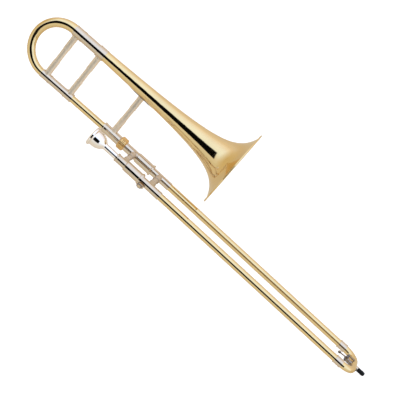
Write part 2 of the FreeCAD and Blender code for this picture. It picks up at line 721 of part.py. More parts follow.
def ring_sector(x0, x1, r_in, r_out, from_degrees, to_degrees):
    """Part of a ring about the mouthpiece-side leg, between two angles."""
    centre = Vector(x0, 0, SLIDE_SPACING)

    def at(radius, degrees):
        turn = math.radians(degrees)
        return centre + Vector(0, -math.cos(turn), math.sin(turn)) * radius

    middle = (from_degrees + to_degrees) / 2
    edges = [arc(at(r_in, from_degrees), at(r_in, middle), at(r_in, to_degrees)),
             line(at(r_in, to_degrees), at(r_out, to_degrees)),
             arc(at(r_out, to_degrees), at(r_out, middle), at(r_out, from_degrees)),
             line(at(r_out, from_degrees), at(r_in, from_degrees))]
    return Part.Face(Part.Wire(edges)).extrude(Vector(x1 - x0, 0, 0))


def slide_lock_ring():
    low, high = LOCK_RING_X
    bore_r = LOCK_JOURNAL_R + RUNNING_CLEARANCE
    ring = turned([(low, bore_r), (high, bore_r), (high, LOCK_RING_R), (low + 0.6, LOCK_RING_R),
                   (low, LOCK_RING_R - 0.6)], 0.0, SLIDE_SPACING)
    r_in, r_out = LOCK_ARM_RADII
    arm = ring_sector(low + 1.5, LOCK_ARM_END_X, r_in, r_out, LOCK_ARM_ANGLE - LOCK_ARM_HALF_ANGLE,
                      LOCK_ARM_ANGLE + LOCK_ARM_HALF_ANGLE)
    finger = ring_sector(LOCK_FINGER_START_X, LOCK_ARM_END_X, r_in, r_out, LOCK_FINGER_ANGLE, LOCK_ARM_ANGLE)
    return ring.fuse([arm, finger]).removeSplitter()


def slide_lock_knob():
    """Low round thumb knob that stands on the lock's arm."""
    arm_r = LOCK_ARM_RADII[1]
    foot = arm_r - 0.6
    centre = Vector(LOCK_KNOB_X, 0, SLIDE_SPACING)

    def at(r, out):
        return centre + Vector(r, -foot - out, 0)

    edges = [line(at(0, 0), at(KNOB_FOOT_R, 0)),
             line(at(KNOB_FOOT_R, 0), at(KNOB_WAIST_R, 0.8)),
             line(at(KNOB_WAIST_R, 0.8), at(KNOB_WAIST_R, 1.2)),
             line(at(KNOB_WAIST_R, 1.2), at(KNOB_EDGE_R, 1.6)),
             arc(at(KNOB_EDGE_R, 1.6), at(KNOB_HEAD_R, 2.7), at(KNOB_EDGE_R, 3.8)),
             line(at(KNOB_EDGE_R, 3.8), at(KNOB_CROWN_R, 4.3)),
             line(at(KNOB_CROWN_R, 4.3), at(0, 4.3)),
             line(at(0, 4.3), at(0, 0))]
    knob = turned_edges(edges, centre, Y_AXIS)
    reach = 30.0
    seat = Part.makeCylinder(arm_r, reach, Vector(LOCK_KNOB_X - reach / 2, 0, SLIDE_SPACING), X_AXIS)
    standing = largest_solid(knob.cut(seat))
    standing.rotate(Vector(0, 0, SLIDE_SPACING), X_AXIS, -LOCK_ARM_ANGLE)
    return standing


def make_slide_lock():
    save("slide_lock_ring", slide_lock_ring())
    save("slide_lock_knob", slide_lock_knob())


# ---- outer slide --------------------------------------------------------------------------------

def bow_body(radius):
    """Solid along the bow's centre line: leg end, corner, short flat, corner, leg end."""
    start_x = OUTER_TUBE_END_X
    leg = BOW_START_X - start_x
    top_z = SLIDE_SPACING
    low_leg = Part.makeCylinder(radius, leg, Vector(start_x, 0, 0), X_AXIS)
    high_leg = Part.makeCylinder(radius, leg, Vector(start_x, 0, top_z), X_AXIS)
    low_face = Part.Face(Part.Wire([Part.makeCircle(radius, Vector(BOW_START_X, 0, 0), X_AXIS)]))
    high_face = Part.Face(Part.Wire([Part.makeCircle(radius, Vector(BOW_START_X, 0, top_z), X_AXIS)]))
    low_corner = low_face.revolve(Vector(BOW_START_X, 0, BOW_CORNER_R), Y_AXIS, -90)
    high_corner = high_face.revolve(Vector(BOW_START_X, 0, top_z - BOW_CORNER_R), Y_AXIS, 90)
    flat = Part.makeCylinder(radius, top_z - 2 * BOW_CORNER_R, Vector(BOW_CREST_X, 0, BOW_CORNER_R), Z_AXIS)
    return low_leg.fuse([high_leg, low_corner, high_corner, flat]).removeSplitter()


def slide_bow():
    drain = rod(Vector(NIPPLE_END_X, 0, KEY_CENTRE_Z), Vector(BOW_CREST_X, 0, KEY_CENTRE_Z), DRAIN_R)
    return bow_body(BOW_R).cut(bow_body(BOW_BORE_R)).cut(drain)


def bow_ferrules():
    return group([beaded_tube(BOW_FERRULE_START_X, BOW_START_X, BOW_R, BOW_FERRULE_R, SLEEVE_BEAD,
                              SLEEVE_BEAD_WIDTH, ("low", "high"), 0.0, z) for z in (0.0, SLIDE_SPACING)])


def outer_tube(z):
    return tube(OUTER_TUBE_START_X, OUTER_TUBE_END_X, OUTER_TUBE_BORE_R, OUTER_TUBE_R, 0.0, z)


def outer_sleeve(z):
    return beaded_tube(OUTER_TUBE_START_X, SLEEVE_END_X, OUTER_TUBE_R, SLEEVE_R, SLEEVE_BEAD,
                       SLEEVE_BEAD_WIDTH, ("high",), 0.0, z)


def lock_catch_pin():
    """Pin on the outer sleeve that the slide lock's finger passes in front of."""
    turn = math.radians(CATCH_PIN_ANGLE)
    out = Vector(0, -math.cos(turn), math.sin(turn))
    centre = Vector(CATCH_PIN_X, 0, SLIDE_SPACING)
    pin = rod(centre + out * (SLEEVE_R - 0.8), centre + out * CATCH_PIN_TOP_R, CATCH_PIN_R)
    reach = 20.0
    seat = Part.makeCylinder(SLEEVE_R, reach, Vector(CATCH_PIN_X - reach / 2, 0, SLIDE_SPACING), X_AXIS)
    return largest_solid(pin.cut(seat))


def bow_wall_cutter():
    return rod(Vector(BOW_CREST_X, 0, 0), Vector(BOW_CREST_X, 0, SLIDE_SPACING), BOW_R)


def water_key_nipple():
    """Drain spout on the inside of the bow, with a small flange against the bow's wall."""
    z = KEY_CENTRE_Z
    body = rod(Vector(NIPPLE_END_X, 0, z), Vector(BOW_CREST_X, 0, z), NIPPLE_R)
    flange = rod(Vector(BOW_CREST_X - BOW_R - 0.8, 0, z), Vector(BOW_CREST_X, 0, z), NIPPLE_FLANGE_R)
    bore = rod(Vector(NIPPLE_END_X - 1, 0, z), Vector(BOW_CREST_X, 0, z), DRAIN_R)
    return largest_solid(body.fuse(flange).cut(bow_wall_cutter()).cut(bore))


def pivot_bar(radius):
    """A long bar on the water key's pivot, to cut holes with."""
    reach = 20.0
    return rod(Vector(KEY_PIVOT_X, -reach, KEY_PIVOT_Z), Vector(KEY_PIVOT_X, reach, KEY_PIVOT_Z), radius)


def saddle_cheek(y):
    """Plate standing on the bow's inside wall at y, with an eye for the pivot screw."""

    def at(x, z):
        return Vector(x, y, z)

    top = at(KEY_PIVOT_X, KEY_PIVOT_Z + CHEEK_EYE_R)
    bottom = at(KEY_PIVOT_X, KEY_PIVOT_Z - CHEEK_EYE_R)
    high_foot = at(BOW_CREST_X, KEY_PIVOT_Z + CHEEK_FOOT_HALF_WIDTH)
    low_foot = at(BOW_CREST_X, KEY_PIVOT_Z - CHEEK_FOOT_HALF_WIDTH)
    edges = [arc(top, at(KEY_PIVOT_X - CHEEK_EYE_R, KEY_PIVOT_Z), bottom),
             line(bottom, low_foot),
             line(low_foot, high_foot),
             line(high_foot, top)]
    plate = Part.Face(Part.Wire(edges)).extrude(Vector(0, CHEEK_THICKNESS, 0))
    return largest_solid(plate.cut(bow_wall_cutter()).cut(pivot_bar(KEY_PIN_R)))


def water_key_saddle():
    """Two cheeks that stand on the bow's inside wall and carry the pivot screw."""
    return group([saddle_cheek(CHEEK_INNER_Y), saddle_cheek(-CHEEK_INNER_Y - CHEEK_THICKNESS)])


def water_key_screw():
    """Pivot screw through both cheeks, with a slotted head on one side."""
    reach = CHEEK_INNER_Y + CHEEK_THICKNESS
    shaft = rod(Vector(KEY_PIVOT_X, -reach, KEY_PIVOT_Z), Vector(KEY_PIVOT_X, reach, KEY_PIVOT_Z), KEY_PIN_R)
    head = rod(Vector(KEY_PIVOT_X, reach, KEY_PIVOT_Z), Vector(KEY_PIVOT_X, reach + 1.4, KEY_PIVOT_Z), 2.0)
    slot = Part.makeBox(0.6, 0.7, 6.0, Vector(KEY_PIVOT_X - 0.3, reach + 0.8, KEY_PIVOT_Z - 3.0))
    return shaft.fuse(head).cut(slot).removeSplitter()


def water_key_spring():
    """Two wound halves round the key's hub, one each side of its arms."""
    wire_r = 0.35
    coil_r = 3.05
    pitch = 0.8
    width = 2.0
    coils = []
    for low_y in (-KEY_HUB_HALF_WIDTH + 0.4, KEY_HUB_HALF_WIDTH - 0.4 - width):
        helix = Part.makeHelix(pitch, width, coil_r)
        profile = Part.Wire([Part.makeCircle(wire_r, Vector(coil_r, 0, 0), Y_AXIS)])
        coil = Part.Wire(helix.Edges).makePipeShell([profile], True, True)
        coil.rotate(ORIGIN, X_AXIS, -90)
        coil.translate(Vector(KEY_PIVOT_X, low_y, KEY_PIVOT_Z))
        coils.append(Part.Solid(coil) if coil.ShapeType == "Shell" else coil)
    return group(coils)


def bumper_holder():
    """Short socket on the crown of the bow for the rubber tip."""
    z = SLIDE_SPACING / 2
    body = rod(Vector(BOW_CREST_X, 0, z), Vector(BUMPER_START_X, 0, z), BUMPER_HOLDER_R)
    stem = rod(Vector(BUMPER_STEM_X, 0, z), Vector(BUMPER_START_X, 0, z), BUMPER_STEM_R)
    return largest_solid(body.cut(bow_wall_cutter()).cut(stem))


def rubber_bumper():
    """Rubber tip with a rounded end, and a stem plugged into its holder."""
    centre = Vector(0, 0, SLIDE_SPACING / 2)

    def at(x, r):
        return centre + Vector(x, 0, r)

    round_start = at(BUMPER_END_X - BUMPER_END_ROUND, BUMPER_R)
    round_end = at(BUMPER_END_X, BUMPER_R - BUMPER_END_ROUND)
    inset = BUMPER_END_ROUND * (1 - math.sqrt(0.5))
    edges = [line(at(BUMPER_STEM_X, 0), at(BUMPER_STEM_X, BUMPER_STEM_R)),
             line(at(BUMPER_STEM_X, BUMPER_STEM_R), at(BUMPER_START_X, BUMPER_STEM_R)),
             line(at(BUMPER_START_X, BUMPER_STEM_R), at(BUMPER_START_X, BUMPER_R)),
             line(at(BUMPER_START_X, BUMPER_R), round_start),
             arc(round_start, at(BUMPER_END_X - inset, BUMPER_R - inset), round_end),
             line(round_end, at(BUMPER_END_X, 0)),
             line(at(BUMPER_END_X, 0), at(BUMPER_STEM_X, 0))]
    return turned_edges(edges, centre, X_AXIS)


def make_outer_slide():
    save("bell_side_outer_tube", outer_tube(0.0))
    save("mouthpiece_side_outer_tube", outer_tube(SLIDE_SPACING))
    save("bell_side_outer_sleeve", outer_sleeve(0.0))
    save("mouthpiece_side_outer_sleeve", outer_sleeve(SLIDE_SPACING))
    middle, sockets = slide_brace(OUTER_BRACE_X, SLEEVE_R, SLEEVE_R, OUTER_BRACE_TUBE_R, OUTER_BRACE_SOCKET_R)
    save("outer_brace_tube", middle)
    save("outer_brace_sockets", sockets)
    save("slide_bow", slide_bow())
    save("bow_ferrules", bow_ferrules())
    save("lock_catch_pin", lock_catch_pin())
    save("water_key_nipple", water_key_nipple())
    save("water_key_saddle", water_key_saddle())
    save("water_key_screw", water_key_screw())
    save("water_key_spring", water_key_spring())
    save("bumper_holder", bumper_holder())
    save("rubber_bumper", rubber_bumper())


# ---- water key ----------------------------------------------------------------------------------

def water_key_lever():
    """Hub on the pivot screw, cup over the nipple, and a touch piece reaching back between the tubes."""
    half_width = KEY_ARM_HALF_WIDTH
    half = KEY_ARM_HALF_THICKNESS
    hub = rod(Vector(KEY_PIVOT_X, -KEY_HUB_HALF_WIDTH, KEY_PIVOT_Z),
              Vector(KEY_PIVOT_X, KEY_HUB_HALF_WIDTH, KEY_PIVOT_Z), KEY_HUB_R)
    cup = rod(Vector(CUP_BACK_X, 0, KEY_CENTRE_Z), Vector(CORK_PAD_X[1] - 0.9, 0, KEY_CENTRE_Z), KEY_CUP_R)
    seat = rod(Vector(CORK_PAD_X[0], 0, KEY_CENTRE_Z), Vector(NIPPLE_END_X, 0, KEY_CENTRE_Z), CORK_PAD_R)
    neck_width = 2.4
    neck = Part.makeBox(neck_width, 2 * half_width, KEY_CENTRE_Z - KEY_PIVOT_Z,
                        Vector(KEY_PIVOT_X - neck_width / 2, -half_width, KEY_PIVOT_Z))
    tail_start = Vector(KEY_PIVOT_X, 0, KEY_PIVOT_Z + 1.2)
    tail_mid = Vector(KEY_PIVOT_X - 10.0, 0, KEY_PIVOT_Z + 3.4)
    tail_end = Vector(KEY_LEVER_END_X + KEY_TOUCH_R, 0, KEY_PIVOT_Z + 3.0)

    def beside(point, side):
        return Vector(point.x, -half_width, point.z + side * half)

    edges = [arc(beside(tail_start, 1), beside(tail_mid, 1), beside(tail_end, 1)),
             line(beside(tail_end, 1), beside(tail_end, -1)),
             arc(beside(tail_end, -1), beside(tail_mid, -1), beside(tail_start, -1)),
             line(beside(tail_start, -1), beside(tail_start, 1))]
    tail = Part.Face(Part.Wire(edges)).extrude(Vector(0, 2 * half_width, 0))
    touch = Part.makeCylinder(KEY_TOUCH_R, 2 * half, Vector(tail_end.x, 0, tail_end.z - half), Z_AXIS)
    pin = pivot_bar(KEY_PIN_R + RUNNING_CLEARANCE)
    return hub.fuse([cup, neck, tail, touch]).cut(seat).cut(pin).removeSplitter()


def water_key_cork():
    return rod(Vector(CORK_PAD_X[0], 0, KEY_CENTRE_Z), Vector(CORK_PAD_X[1], 0, KEY_CENTRE_Z), CORK_PAD_R)


def make_water_key():
    save("water_key_lever", water_key_lever())
    save("water_key_cork", water_key_cork())


# ---- mouthpiece ---------------------------------------------------------------------------------

def mouthpiece():
    """Rounded rim, bowl-shaped cup, throat and backbore, with a tapered shank."""
    rim_r = MOUTHPIECE_RIM_R
    cup_r = MOUTHPIECE_CUP_R
    throat_r = MOUTHPIECE_THROAT_R
    centre = Vector(MOUTHPIECE_RIM_X, 0, SLIDE_SPACING)

    def at(back, r):
        return centre + Vector(back, 0, r)

    cup_edge = at(3.2, cup_r)
    rim_top = at(0, (rim_r + cup_r) / 2)
    rim_front = at(3.6, rim_r)
    rim_back = at(5.2, rim_r)
    cup_top = at(9.0, 16.2)
    cup_shoulder = at(25.0, 12.6)
    cup_foot = at(31.2, 7.4)
    shank_top = at(36.0, 6.4)
    shank_mouth = at(MOUTHPIECE_RECEIVER_X - MOUTHPIECE_RIM_X, SHANK_MOUTH_R)
    shank_end = at(SHANK_END_X - MOUTHPIECE_RIM_X, SHANK_END_R)
    backbore_end = at(SHANK_END_X - MOUTHPIECE_RIM_X, 5.0)
    throat_end = at(33.0, throat_r)
    throat_start = at(27.0, throat_r)
    edges = [arc(cup_edge, at(0.9, cup_r + 1.0), rim_top),
             arc(rim_top, at(1.3, rim_r - 0.7), rim_front),
             line(rim_front, rim_back),
             arc(rim_back, at(6.6, 17.2), cup_top),
             arc(cup_top, at(18.0, 15.4), cup_shoulder),
             arc(cup_shoulder, at(28.7, 9.8), cup_foot),
             arc(cup_foot, at(33.0, 6.75), shank_top),
             line(shank_top, shank_mouth),
             line(shank_mouth, shank_end),
             line(shank_end, backbore_end),
             line(backbore_end, throat_end),
             line(throat_end, throat_start),
             arc(throat_start, at(19.0, 9.4), cup_edge)]
    return turned_edges(edges, centre, X_AXIS)


def main():
    os.makedirs("parts", exist_ok=True)
    make_bell_section()
    make_tuning_slide()
    make_inner_slide()
    save("lock_nut", lock_nut())
    make_slide_lock()
    make_outer_slide()
    make_water_key()
    save("mouthpiece", mouthpiece())


main()
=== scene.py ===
import json
import math
import bmesh
import bpy
from mathutils import Matrix, Vector


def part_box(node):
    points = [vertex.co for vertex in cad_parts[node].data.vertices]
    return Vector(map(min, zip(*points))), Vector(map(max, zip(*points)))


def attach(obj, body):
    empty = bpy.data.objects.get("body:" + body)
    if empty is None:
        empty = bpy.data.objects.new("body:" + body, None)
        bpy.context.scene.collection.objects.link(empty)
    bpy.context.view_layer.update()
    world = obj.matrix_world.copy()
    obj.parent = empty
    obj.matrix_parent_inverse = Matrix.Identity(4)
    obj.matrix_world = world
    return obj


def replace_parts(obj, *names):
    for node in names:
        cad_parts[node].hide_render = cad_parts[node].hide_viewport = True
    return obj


# Looks of the trombone: camera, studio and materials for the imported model, and five finer pieces.
# Everything is in metres, in the model's own frame.

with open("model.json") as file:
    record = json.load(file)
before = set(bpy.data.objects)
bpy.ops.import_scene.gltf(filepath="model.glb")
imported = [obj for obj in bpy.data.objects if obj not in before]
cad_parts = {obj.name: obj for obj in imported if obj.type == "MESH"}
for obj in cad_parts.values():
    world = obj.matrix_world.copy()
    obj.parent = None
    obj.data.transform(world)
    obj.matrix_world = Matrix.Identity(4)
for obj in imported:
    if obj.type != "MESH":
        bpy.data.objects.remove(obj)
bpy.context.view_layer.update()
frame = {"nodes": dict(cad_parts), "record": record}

MM = 0.001

# ---- camera ------------------------------------------------------------------------------------

SLIDE_AXIS = Vector((1, 0, 0))
VIEW_TILT = math.radians(18.4)
VIEW_ROLL = math.radians(42.65)
VIEW_DISTANCE = 2.129
LENS = 100.0
SENSOR = 36.0
AIM = Vector((0.152, 0.0202, -0.0067))

# Towards the camera, and square to that towards the bell.
TO_CAMERA = Vector((0, math.sin(VIEW_TILT), math.cos(VIEW_TILT)))
TO_BELL = Vector((0, math.cos(VIEW_TILT), -math.sin(VIEW_TILT)))


def make_camera():
    """Camera square to the slide, which runs down to the right in its view."""
    right = SLIDE_AXIS * math.cos(VIEW_ROLL) + TO_BELL * math.sin(VIEW_ROLL)
    up = TO_BELL * math.cos(VIEW_ROLL) - SLIDE_AXIS * math.sin(VIEW_ROLL)
    data = bpy.data.cameras.new("camera")
    data.lens = LENS
    data.sensor_width = SENSOR
    camera = bpy.data.objects.new("camera", data)
    bpy.context.scene.collection.objects.link(camera)
    turn = Matrix((right, up, TO_CAMERA)).transposed().to_4x4()
    camera.matrix_world = Matrix.Translation(AIM + TO_CAMERA * VIEW_DISTANCE) @ turn
    bpy.context.scene.camera = camera


# ---- shader nodes ------------------------------------------------------------------------------

# The Mix node's colour sockets share their names with others, so they go by number.
MIX_COLOURS = (6, 7)
MIX_RESULT = 2


class Shader:
    """Adds nodes to a tree; a socket given as an input value is linked, anything else is set."""

    def __init__(self, tree):
        self.tree = tree
        tree.nodes.clear()

    def add(self, kind, inputs=None, **settings):
        node = self.tree.nodes.new(kind)
        for name, value in settings.items():
            setattr(node, name, value)
        for name, value in (inputs or {}).items():
            if isinstance(value, bpy.types.NodeSocket):
                self.tree.links.new(value, node.inputs[name])
            else:
                node.inputs[name].default_value = value
        return node

    def place(self):
        """Where a point lies on its object."""
        return self.add("ShaderNodeTexCoord").outputs["Object"]

    def math(self, operation, *values):
        inputs = dict(enumerate(values))
        return self.add("ShaderNodeMath", inputs, operation=operation).outputs[0]

    def dot(self, vector, axis):
        node = self.add("ShaderNodeVectorMath", {0: vector, 1: axis}, operation="DOT_PRODUCT")
        return node.outputs["Value"]

    def noise(self, vector, stretch, scale, detail):
        scaled = self.add("ShaderNodeMapping", {"Vector": vector, "Scale": stretch})
        inputs = {"Vector": scaled.outputs["Vector"], "Scale": scale, "Detail": detail}
        return self.add("ShaderNodeTexNoise", inputs).outputs["Fac"]

    def spread(self, value, low, high, from_low=0.3, from_high=0.7):
        """Stretch from_low to from_high, by default the middle of a noise, over low to high."""
        inputs = {"Value": value, "From Min": from_low, "From Max": from_high,
                  "To Min": low, "To Max": high}
        return self.add("ShaderNodeMapRange", inputs).outputs["Result"]

    def blend(self, factor, first, second):
        node = self.add("ShaderNodeMix", data_type="RGBA")
        self.tree.links.new(factor, node.inputs["Factor"])
        for index, colour in zip(MIX_COLOURS, (first, second)):
            if isinstance(colour, bpy.types.NodeSocket):
                self.tree.links.new(colour, node.inputs[index])
            else:
                node.inputs[index].default_value = (*colour, 1)
        return node.outputs[MIX_RESULT]

    def ramp(self, value, stops):
        """Colour ramp through (position, colour) stops."""
        node = self.add("ShaderNodeValToRGB", {"Fac": value})
        elements = node.color_ramp.elements
        while len(elements) < len(stops):
            elements.new(0.5)
        for element, (position, colour) in zip(elements, stops):
            element.position = position
            element.color = (*colour, 1)
        return node.outputs["Color"]

    def bump(self, height, strength, distance):
        inputs = {"Height": height, "Strength": strength, "Distance": distance}
        return self.add("ShaderNodeBump", inputs).outputs["Normal"]

    def surface(self, inputs):
        """End the tree in a principled surface with these inputs."""
        node = self.add("ShaderNodeBsdfPrincipled", inputs)
        self.add("ShaderNodeOutputMaterial", {"Surface": node.outputs[0]})


def new_material(name):
    """A material and the shader that fills it."""
    material = bpy.data.materials.new(name)
    material.use_nodes = True
    return material, Shader(material.node_tree)


# ---- studio ------------------------------------------------------------------------------------

FLOOR_Z = -0.55
FLOOR_SIZE = 8.0
FLOOR_COLOUR = (0.95, 0.87, 0.80, 1)
FLOOR_GLOW = 0.54
TENT_WHITE = (1.0, 1.0, 1.0)
TENT_GAP = (0.002, 0.002, 0.002)
# Light of the tent by degrees round the slide, from the camera (0) towards the bell (positive).
# The gap is the tent's dark opening on the camera's side.
TENT = [
    (-180, (0.66, 0.58, 0.43)),
    (-128, (0.75, 0.69, 0.61)),
    (-97, (0.78, 0.73, 0.62)),
    (-74, (0.78, 0.78, 0.70)),
    (-53, (0.84, 0.86, 0.86)),
    (-44, (0.86, 0.87, 0.87)),
    (-41, TENT_GAP),
    (4, TENT_GAP),
    (9, (1.05, 1.27, 1.66)),
    (35, (1.10, 1.30, 1.70)),
    (53, (1.07, 1.22, 1.58)),
    (74, (1.05, 1.09, 1.25)),
    (97, (0.92, 0.86, 0.84)),
    (116, (0.84, 0.80, 0.78)),
    (140, (0.76, 0.67, 0.55)),
    (180, (0.66, 0.58, 0.43)),
]
# The gap's ends towards the crook and towards the bow, as sines of the angle along the slide.
GAP_CROOK_END = math.sin(math.radians(-45))
GAP_BOW_END = math.sin(math.radians(32))
GAP_BLUR = 0.01
# Past the crook the tent turns to one even tone, between these sines.
FAR_LIGHT = (0.74, 0.64, 0.43)
FAR_START = -0.80
FAR_FULL = -0.98


def make_world():
    """A light tent: bright all round, with a dark gap on the camera's side."""
    world = bpy.data.worlds.new("tent")
    bpy.context.scene.world = world
    world.use_nodes = True
    shader = Shader(world.node_tree)
    way = shader.add("ShaderNodeTexCoord").outputs["Generated"]
    towards_camera = shader.dot(way, TO_CAMERA)
    towards_bell = shader.dot(way, TO_BELL)
    along = shader.dot(way, SLIDE_AXIS)
    angle = shader.math("ARCTAN2", towards_bell, towards_camera)
    turn = shader.math("MULTIPLY_ADD", angle, 1 / (2 * math.pi), 0.5)
    stops = [(degrees / 360 + 0.5, colour) for degrees, colour in TENT]
    with_gap = shader.ramp(turn, stops)
    without_gap = shader.ramp(turn, [stop for stop in stops if stop[1] != TENT_GAP])
    past_crook = shader.spread(along, 0, 1, GAP_CROOK_END - GAP_BLUR, GAP_CROOK_END + GAP_BLUR)
    before_bow = shader.spread(along, 1, 0, GAP_BOW_END - GAP_BLUR, GAP_BOW_END + GAP_BLUR)
    beside_gap = shader.math("MULTIPLY", past_crook, before_bow)
    light = shader.blend(beside_gap, without_gap, with_gap)
    light = shader.blend(shader.spread(along, 1, 0, FAR_FULL, FAR_START), light, FAR_LIGHT)
    seen = shader.add("ShaderNodeLightPath").outputs["Is Camera Ray"]
    colour = shader.blend(seen, light, TENT_WHITE)
    background = shader.add("ShaderNodeBackground", {"Color": colour, "Strength": 1.0})
    shader.add("ShaderNodeOutputWorld", {"Surface": background.outputs[0]})


def make_floor():
    """White paper floor, bright enough to meet the tent without a line."""
    half = FLOOR_SIZE / 2
    mesh = bpy.data.meshes.new("floor")
    corners = [(-half, -half), (half, -half), (half, half), (-half, half)]
    mesh.from_pydata([(x, y, FLOOR_Z) for x, y in corners], [], [(0, 1, 2, 3)])
    floor = bpy.data.objects.new("floor", mesh)
    bpy.context.scene.collection.objects.link(floor)
    material, shader = new_material("floor_paper")
    shader.surface({"Base Color": FLOOR_COLOUR, "Roughness": 0.9, "Specular IOR Level": 0.0,
                    "Emission Color": (1, 1, 1, 1), "Emission Strength": FLOOR_GLOW})
    mesh.materials.append(material)
    floor.visible_glossy = False


# ---- materials ---------------------------------------------------------------------------------

# How a noise is squeezed along x, y and z, which draws its grains out into lines.
EVEN = (1, 1, 1)
ALONG = (0.03, 1, 1)
ACROSS = (1, 0.03, 1)
SPUN = (1, 0.1, 0.1)

# Each metal's colour, its roughness and what handling adds to it (haze), how uneven its tone is
# (mottle), and how its polishing lines run (grain).
METALS = {
    "lacquered_brass": dict(colour=(0.83, 0.615, 0.295), roughness=0.07, haze=0.05, mottle=0.05,
                            grain=EVEN, coat=0.4),
    "nickel_silver": dict(colour=(0.72, 0.59, 0.44), roughness=0.10, haze=0.05, mottle=0.05,
                          grain=ALONG),
    "satin_nickel": dict(colour=(0.72, 0.61, 0.49), roughness=0.29, haze=0.08, mottle=0.05,
                         grain=ACROSS),
    "hazy_nickel": dict(colour=(0.92, 0.74, 0.52), roughness=0.34, haze=0.08, mottle=0.05,
                        grain=ACROSS, metallic=0.45),
    # A dark nickel that stands for painted shade on the water key and the rim of the lock knob.
    "painted_shade_nickel": dict(colour=(0.36, 0.30, 0.25), roughness=0.22, haze=0.12, mottle=0.12,
                        grain=EVEN),
    "raw_brass": dict(colour=(0.78, 0.49, 0.19), roughness=0.12, haze=0.08, mottle=0.10,
                      grain=EVEN),
    "chrome_plate": dict(colour=(0.70, 0.71, 0.73), roughness=0.10, haze=0.05, mottle=0.03,
                         grain=ALONG),
    "silver_plate": dict(colour=(0.95, 0.865, 0.79), roughness=0.06, haze=0.04, mottle=0.04,
                         grain=SPUN),
    "spring_steel": dict(colour=(0.42, 0.42, 0.44), roughness=0.28, haze=0.10, mottle=0.10,
                         grain=ALONG),
}


def shade(colour, factor):
    return tuple(channel * factor for channel in colour)


def metal(name, colour, roughness, haze, mottle, grain, coat=0.0, metallic=1.0):
    """Metal with slow changes of tone, hazy patches from handling, and fine polishing lines."""
    material, shader = new_material(name)
    place = shader.place()
    cloud = shader.noise(place, EVEN, scale=18, detail=3)
    patches = shader.noise(place, EVEN, scale=70, detail=4)
    lines = shader.noise(place, grain, scale=900, detail=4)
    dark = shade(colour, 1 - mottle)
    bright = shade(colour, 1 + mottle / 2)
    tone = shader.blend(shader.spread(cloud, 0, 1), dark, bright)
    handled = shader.spread(patches, roughness, roughness + haze, 0.45, 0.75)
    polished = shader.spread(lines, -0.2 * roughness, 0.3 * roughness)
    rough = shader.math("ADD", handled, polished)
    normal = shader.bump(lines, strength=0.12, distance=0.02 * MM)
    shader.surface({"Base Color": tone, "Metallic": metallic, "Roughness": rough,
                    "Coat Weight": coat, "Coat Roughness": 0.04, "Normal": normal})
    return material


def cork():
    """Pressed cork: light and dark specks, and small pits between its cells."""
    material, shader = new_material("cork")
    place = shader.place()
    speckle = shader.noise(place, EVEN, scale=1800, detail=5)
    cells = shader.add("ShaderNodeTexVoronoi", {"Vector": place, "Scale": 900})
    tone = shader.blend(shader.spread(speckle, 0, 1), (0.23, 0.11, 0.045), (0.56, 0.36, 0.18))
    normal = shader.bump(cells.outputs["Distance"], strength=0.5, distance=0.2 * MM)
    shader.surface({"Base Color": tone, "Roughness": 0.85, "Normal": normal})
    return material


def black_rubber():
    """Moulded rubber: nearly black, duller where it has worn, with a fine grain."""
    material, shader = new_material("black_rubber")
    place = shader.place()
    wear = shader.noise(place, EVEN, scale=300, detail=4)
    grain = shader.noise(place, EVEN, scale=4000, detail=3)
    tone = shader.blend(shader.spread(wear, 0, 1), (0.003, 0.003, 0.0035), (0.008, 0.008, 0.008))
    rough = shader.spread(wear, 0.45, 0.65)
    normal = shader.bump(grain, strength=0.3, distance=0.05 * MM)
    shader.surface({"Base Color": tone, "Roughness": rough, "Specular IOR Level": 0.2,
                    "Normal": normal})
    return material


materials = {name: metal(name, **looks) for name, looks in METALS.items()}
materials["cork"] = cork()
materials["black_rubber"] = black_rubber()

# The braces are brushed, not polished, and those of the bell section have hazed over.
BRACE_FINISH = {"inner": "satin_nickel", "outer": "satin_nickel",
                "bell": "hazy_nickel", "receiver": "hazy_nickel", "tuning": "hazy_nickel"}
FINISH = {brace + "_brace_" + piece: finish for brace, finish in BRACE_FINISH.items()
          for piece in ("tube", "sockets")}
# The water key's saddle and nipple take the dark nickel, which paints shade on them.
FINISH["water_key_saddle"] = "painted_shade_nickel"
FINISH["water_key_nipple"] = "painted_shade_nickel"


def dress_nodes():
    """Give every CAD node its own finish, or else the material of its slot in the record."""
    for part in frame["record"]["subparts"]:
        mesh = frame["nodes"][part["node"]].data
        mesh.materials.clear()
        mesh.materials.append(materials[FINISH.get(part["node"], part["material_slot"])])


# ---- shapes ------------------------------------------------------------------------------------

SAME_POINT = 0.0001 * MM
ROUNDING_STEPS = 4
LONGEST_ROUNDING = 0.45
BAR_SIDES = 24
BAR_SQUARENESS = 0.6
SHARP_ANGLE = math.radians(40)


def middle_of(node):
    low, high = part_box(node)
    return (low + high) / 2


def half_height(node):
    low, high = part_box(node)
    return (high.z - low.z) / 2


def axis_point(node, x):
    """Point at x on the middle line of a node that is turned about the slide's direction."""
    middle = middle_of(node)
    return Vector((x, middle.y, middle.z))


def soften(profile, size):
    """Round the inner corners of an (along, radius) profile, starting size away from each.

    A rounding takes no more than LONGEST_ROUNDING of the edges beside it.
    """
    points = [profile[0]]
    for before, corner, after in zip(profile, profile[1:], profile[2:]):
        here = Vector(corner)
        back = Vector(before) - here
        ahead = Vector(after) - here
        start = here + back * min(LONGEST_ROUNDING, size / back.length)
        end = here + ahead * min(LONGEST_ROUNDING, size / ahead.length)
        for step in range(ROUNDING_STEPS + 1):
            share = step / ROUNDING_STEPS
            point = start * (1 - share) ** 2 + here * 2 * share * (1 - share) + end * share ** 2
            points.append(tuple(point))
    points.append(profile[-1])
    return points


